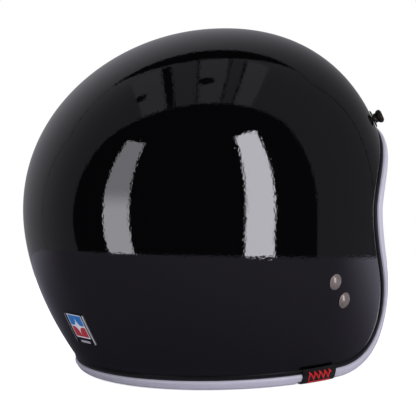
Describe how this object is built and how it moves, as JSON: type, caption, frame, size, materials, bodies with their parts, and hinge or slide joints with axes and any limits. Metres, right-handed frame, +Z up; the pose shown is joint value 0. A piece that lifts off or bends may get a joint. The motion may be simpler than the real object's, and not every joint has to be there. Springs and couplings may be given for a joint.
{
  "type": "open-face motorcycle helmet",
  "caption": "Open-face motorcycle helmet with hard gloss shell, edge trim, foam liner, padded lining, riveted chin strap with double rings and visor snaps.",
  "frame": {"origin": "on the surface the helmet stands on, under the middle of its length and width", "axes": "+Z up, the wearer faces -Y, the wearer's right side is at -X; the shell mirrors about the plane X = 0"},
  "size_m": [0.237, 0.2641, 0.2352],
  "materials": {
    "gloss_shell": "high gloss lacquer",
    "black_rubber": "satin",
    "silver_trim": "satin metallic",
    "woven_tab": "woven",
    "foam": "expanded bead foam",
    "lining_cloth": "brushed knit",
    "leatherette": "fine grain",
    "zinc_steel": "zinc plated",
    "webbing": "woven",
    "nickel": "nickel plated",
    "dark_nickel": "black nickel plated",
    "badge_plate": "satin"
  },
  "bodies": {
    "helmet": {"outer_shell": "gloss_shell", "edge_channel": "black_rubber", "edge_band": "silver_trim", "side_tab": "woven_tab", "foam_liner": "foam", "foam_crown": "foam", "headband": "lining_cloth", "crown_pad": "lining_cloth", "side_lining": "lining_cloth", "face_roll": "leatherette", "cheek_pad_right": "leatherette", "cheek_pad_left": "leatherette", "neck_roll": "leatherette", "strap_anchor_right": "zinc_steel", "strap_anchor_left": "zinc_steel", "strap_root_right": "webbing", "strap_root_left": "webbing", "strap_rivets_right": "nickel", "strap_rivets_left": "nickel", "snap_washers": "dark_nickel", "snap_studs": "dark_nickel", "snap_eyelets": "zinc_steel", "rear_badge": "badge_plate"},
    "strap_right": {"chin_strap_long": "webbing", "strap_snap_stud": "dark_nickel", "strap_snap_socket": "dark_nickel"},
    "strap_left": {"chin_strap_short": "webbing"},
    "ring_lower": {"d_ring_lower": "nickel"},
    "ring_upper": {"d_ring_upper": "nickel"}
  },
  "joints": [
    {"name": "strap_right_swing", "type": "hinge", "parent": "helmet", "child": "strap_right", "pos_m": [-0.08784, -0.02246, 0.0014], "axis": [0, -1, 0], "range_deg": [-85, 8]},
    {"name": "strap_left_swing", "type": "hinge", "parent": "helmet", "child": "strap_left", "pos_m": [0.08784, -0.02246, 0.0014], "axis": [0, 1, 0], "range_deg": [-85, 8]},
    {"name": "ring_lower_turn", "type": "hinge", "parent": "strap_left", "child": "ring_lower", "pos_m": [0.033, -0.02246, 0.004], "axis": [0, 1, 0], "range_deg": [-90, 0]},
    {"name": "ring_upper_turn", "type": "hinge", "parent": "strap_left", "child": "ring_upper", "pos_m": [0.033, -0.02246, 0.0075], "axis": [0, 1, 0], "range_deg": [0, 100]}
  ]
}
